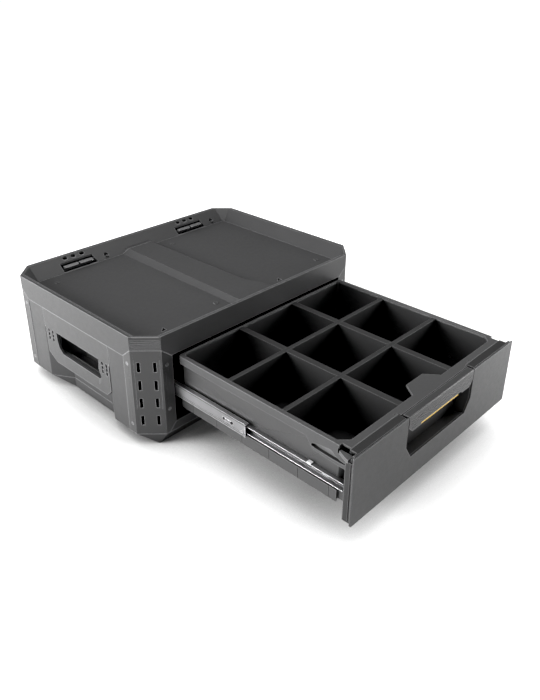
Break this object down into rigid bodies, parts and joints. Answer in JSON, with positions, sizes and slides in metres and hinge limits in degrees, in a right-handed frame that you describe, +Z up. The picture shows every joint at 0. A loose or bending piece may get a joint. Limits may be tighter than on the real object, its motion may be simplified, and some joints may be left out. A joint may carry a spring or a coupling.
{
  "type": "stackable drawer organizer box",
  "caption": "Stackable moulded organizer case with slotted steel corner brackets, side grips, a recessed top and a full-extension drawer with divided compartments, shown open.",
  "frame": {"origin": "centre of the case on the plane its foot stands on", "axes": "+Z up, the drawer opens along -Y, +X to the right seen from the front"},
  "size_m": [0.56, 0.8029, 0.217],
  "materials": {
    "bracket_steel": "dark grey powder coated sheet",
    "cage_steel": "rolled steel with chrome balls",
    "case_plastic": "dark grey moulded plastic with a fine satin grain",
    "deck_plastic": "dark grey moulded plastic, fine grain",
    "divider_plastic": "near black moulded plastic",
    "drawer_plastic": "near black moulded plastic",
    "front_plastic": "dark grey moulded plastic, satin",
    "latch_plastic": "mid grey moulded plastic",
    "lever_gold": "golden yellow satin paint",
    "nylon": "off-white nylon",
    "pin_steel": "bright steel",
    "screw_steel": "dark zinc",
    "slide_steel": "zinc plated rolled steel with light oil",
    "spring_steel": "spring wire"
  },
  "bodies": {
    "case": {"base_tray": "case_plastic", "front_sill": "case_plastic", "side_wall_left": "case_plastic", "side_wall_right": "case_plastic", "back_wall": "case_plastic", "top_frame": "case_plastic", "top_deck": "deck_plastic", "bracket_front_left": "bracket_steel", "bracket_front_right": "bracket_steel", "bracket_back_left": "bracket_steel", "bracket_back_right": "bracket_steel", "bracket_screws": "screw_steel", "jamb_left": "case_plastic", "jamb_right": "case_plastic", "latch_keepers": "slide_steel", "side_handle_left": "case_plastic", "side_handle_right": "case_plastic", "carcass_wall_left": "case_plastic", "carcass_wall_right": "case_plastic", "slide_outer_left": "slide_steel", "slide_outer_right": "slide_steel", "case_slide_screws": "screw_steel", "latch_pins": "pin_steel", "latch_springs": "spring_steel"},
    "drawer": {"drawer_tray": "drawer_plastic", "drawer_rim": "drawer_plastic", "slide_clips": "nylon", "divider_long_left": "divider_plastic", "divider_long_right": "divider_plastic", "divider_cross_front": "divider_plastic", "divider_cross_rear": "divider_plastic", "drawer_front_frame": "front_plastic", "drawer_front_cover": "front_plastic", "handle_scoop": "front_plastic", "handle_grip": "front_plastic", "slide_inner_left": "slide_steel", "slide_inner_right": "slide_steel", "drawer_slide_screws": "screw_steel", "front_studs": "screw_steel", "skirt_left": "drawer_plastic", "skirt_right": "drawer_plastic", "lever_pin": "pin_steel", "lever_spring": "spring_steel", "bolt_springs": "spring_steel"},
    "release_lever": {"release_lever": "lever_gold"},
    "slide_middle_left": {"slide_middle_left": "slide_steel"},
    "ball_cage_outer_left": {"ball_cage_outer_left": "cage_steel"},
    "ball_cage_inner_left": {"ball_cage_inner_left": "cage_steel"},
    "stack_latch_left": {"stack_latch_left": "latch_plastic"},
    "latch_bolt_left": {"latch_bolt_left": "latch_plastic"},
    "slide_middle_right": {"slide_middle_right": "slide_steel"},
    "ball_cage_outer_right": {"ball_cage_outer_right": "cage_steel"},
    "ball_cage_inner_right": {"ball_cage_inner_right": "cage_steel"},
    "stack_latch_right": {"stack_latch_right": "latch_plastic"},
    "latch_bolt_right": {"latch_bolt_right": "latch_plastic"}
  },
  "joints": [
    {"name": "drawer_slide", "type": "slide", "parent": "case", "child": "drawer", "axis": [0, -1, 0], "range_m": [-0.382, 0]},
    {"name": "slide_middle_left_run", "type": "slide", "parent": "case", "child": "slide_middle_left", "axis": [0, -1, 0], "range_m": [-0.191, 0]},
    {"name": "ball_cage_outer_left_run", "type": "slide", "parent": "case", "child": "ball_cage_outer_left", "axis": [0, -1, 0], "range_m": [-0.0955, 0]},
    {"name": "ball_cage_inner_left_run", "type": "slide", "parent": "case", "child": "ball_cage_inner_left", "axis": [0, -1, 0], "range_m": [-0.2865, 0]},
    {"name": "slide_middle_right_run", "type": "slide", "parent": "case", "child": "slide_middle_right", "axis": [0, -1, 0], "range_m": [-0.191, 0]},
    {"name": "ball_cage_outer_right_run", "type": "slide", "parent": "case", "child": "ball_cage_outer_right", "axis": [0, -1, 0], "range_m": [-0.0955, 0]},
    {"name": "ball_cage_inner_right_run", "type": "slide", "parent": "case", "child": "ball_cage_inner_right", "axis": [0, -1, 0], "range_m": [-0.2865, 0]},
    {"name": "release_lever_hinge", "type": "hinge", "parent": "drawer", "child": "release_lever", "pos_m": [0, -0.573, 0.146], "axis": [-1, 0, 0], "range_deg": [0, 18], "stiffness_Nm_per_rad": 0.3, "springref_deg": -8.59},
    {"name": "latch_bolt_left_slide", "type": "slide", "parent": "drawer", "child": "latch_bolt_left", "axis": [1, 0, 0], "range_m": [0, 0.00401]},
    {"name": "latch_bolt_right_slide", "type": "slide", "parent": "drawer", "child": "latch_bolt_right", "axis": [-1, 0, 0], "range_m": [0, 0.00401]},
    {"name": "stack_latch_left_hinge", "type": "hinge", "parent": "case", "child": "stack_latch_left", "pos_m": [0, 0.1845, 0.196], "axis": [-1, 0, 0], "range_deg": [0, 20], "stiffness_Nm_per_rad": 0.25, "springref_deg": -8.59},
    {"name": "stack_latch_right_hinge", "type": "hinge", "parent": "case", "child": "stack_latch_right", "pos_m": [0, 0.1845, 0.196], "axis": [-1, 0, 0], "range_deg": [0, 20], "stiffness_Nm_per_rad": 0.25, "springref_deg": -8.59}
  ],
  "couplings": [
    {"joint": "slide_middle_left_run", "follows": "drawer_slide", "ratio": 0.5},
    {"joint": "ball_cage_outer_left_run", "follows": "drawer_slide", "ratio": 0.25},
    {"joint": "ball_cage_inner_left_run", "follows": "drawer_slide", "ratio": 0.75},
    {"joint": "slide_middle_right_run", "follows": "drawer_slide", "ratio": 0.5},
    {"joint": "ball_cage_outer_right_run", "follows": "drawer_slide", "ratio": 0.25},
    {"joint": "ball_cage_inner_right_run", "follows": "drawer_slide", "ratio": 0.75},
    {"joint": "latch_bolt_left_slide", "follows": "release_lever_hinge", "m_per_rad": 0.012732},
    {"joint": "latch_bolt_right_slide", "follows": "release_lever_hinge", "m_per_rad": 0.012732}
  ]
}
